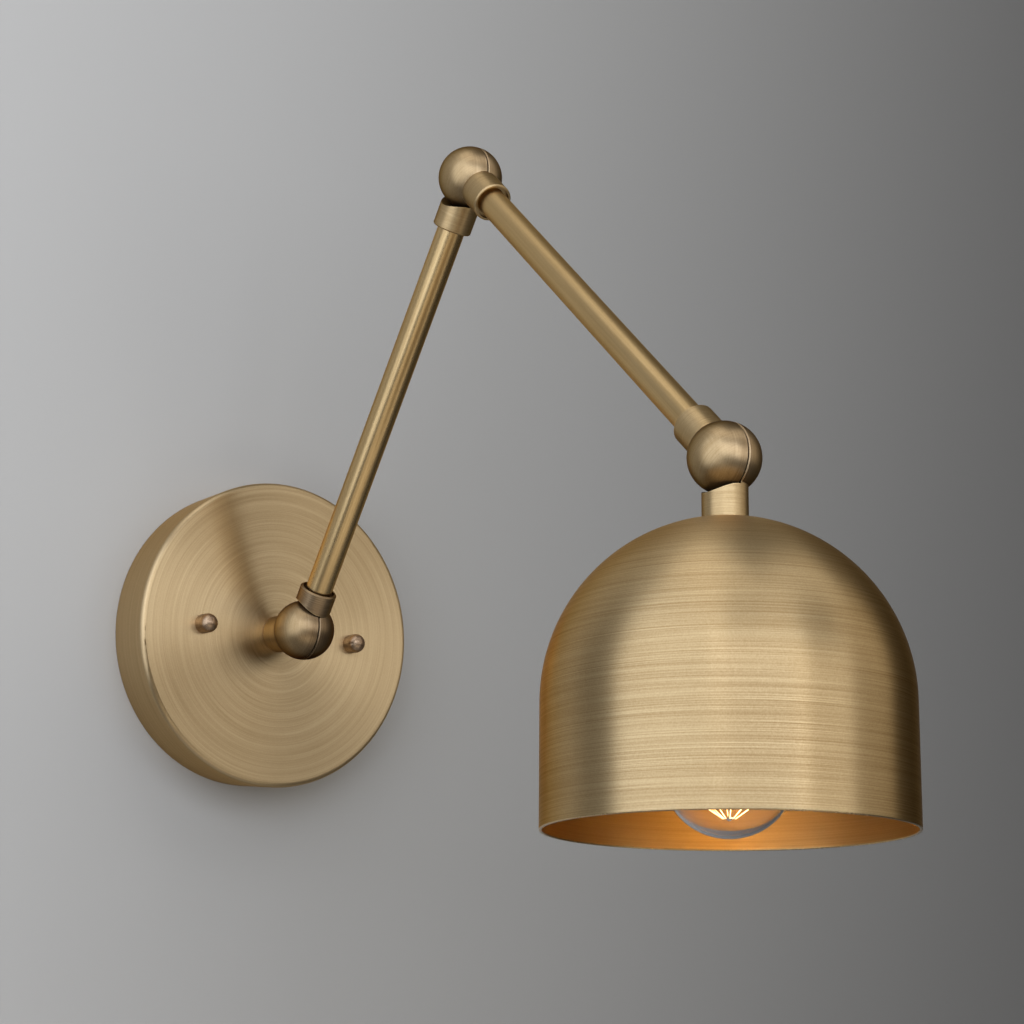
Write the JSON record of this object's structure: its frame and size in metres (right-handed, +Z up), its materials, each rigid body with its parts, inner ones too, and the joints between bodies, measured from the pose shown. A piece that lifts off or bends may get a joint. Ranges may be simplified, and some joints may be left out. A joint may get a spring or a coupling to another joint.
{
  "type": "wall sconce",
  "caption": "Articulating wall sconce in antique brass: round canopy, straight arms on split ball swivels, and a dome shade over a clear bulb.",
  "frame": {"origin": "centre of the canopy's back plane, where it meets the wall", "axes": "+X to the right as one faces the wall, +Y into the wall, +Z up; the lamp stands out along -Y"},
  "size_m": [0.1296, 0.3806, 0.2762],
  "materials": {
    "spun_brass": "antique brass, satin, brushed in rings from spinning",
    "drawn_brass": "antique brass tube, satin, brushed along its length",
    "aged_brass": "darkened antique brass, satin",
    "zinc_steel": "zinc plated steel",
    "green_screw": "green dyed screw",
    "phenolic": "black moulded phenolic",
    "contact_brass": "bright stamped brass",
    "fibre": "black fibre",
    "bulb_glass": "clear blown glass",
    "cap_metal": "rolled bulb cap",
    "cap_glass": "black cap insulator with its tip",
    "filament": "glowing filament wire"
  },
  "bodies": {
    "canopy_side": {"canopy": "spun_brass", "box_strap": "zinc_steel", "stud_strap": "zinc_steel", "strap_rivet": "zinc_steel", "ground_screw": "green_screw", "canopy_studs": "zinc_steel", "stud_locknuts": "zinc_steel", "cap_nuts": "aged_brass", "canopy_nipple": "zinc_steel", "nipple_washer": "zinc_steel", "nipple_locknut": "zinc_steel", "neck_half": "aged_brass", "base_pivot_screw": "aged_brass", "base_spring_washer": "zinc_steel", "base_friction_washer": "fibre"},
    "lower_arm": {"lower_arm_base_half": "aged_brass", "lower_arm_tube": "drawn_brass", "lower_arm_elbow_half": "aged_brass"},
    "upper_arm": {"upper_arm_elbow_half": "aged_brass", "elbow_pivot_screw": "aged_brass", "elbow_spring_washer": "zinc_steel", "elbow_friction_washer": "fibre", "upper_arm_tube": "drawn_brass", "upper_arm_shade_half": "aged_brass", "shade_pivot_screw": "aged_brass", "shade_spring_washer": "zinc_steel", "shade_friction_washer": "fibre"},
    "shade_side": {"shade_half": "aged_brass", "shade_nipple": "zinc_steel", "shade": "spun_brass", "shade_washer": "zinc_steel", "shade_locknut": "zinc_steel", "socket_cap": "aged_brass", "socket_body": "phenolic", "socket_shell": "contact_brass", "socket_contact": "contact_brass", "terminal_screws": "contact_brass", "bulb_cap": "cap_metal", "bulb_insulator": "cap_glass", "bulb_glass": "bulb_glass", "bulb_stem": "bulb_glass", "bulb_supports": "zinc_steel", "bulb_filament": "filament"}
  },
  "joints": [
    {"name": "base_swivel", "type": "hinge", "parent": "canopy_side", "child": "lower_arm", "pos_m": [0, -0.0468, 0], "axis": [1, 0, 0], "range_deg": [-31.4, 88.6]},
    {"name": "elbow_swivel", "type": "hinge", "parent": "lower_arm", "child": "upper_arm", "pos_m": [0, -0.15189, 0.17216], "axis": [1, 0, 0], "range_deg": [-99.1, 3]},
    {"name": "shade_swivel", "type": "hinge", "parent": "upper_arm", "child": "shade_side", "pos_m": [0, -0.31112, 0.03617], "axis": [1, 0, 0], "range_deg": [-147, 56]}
  ]
}
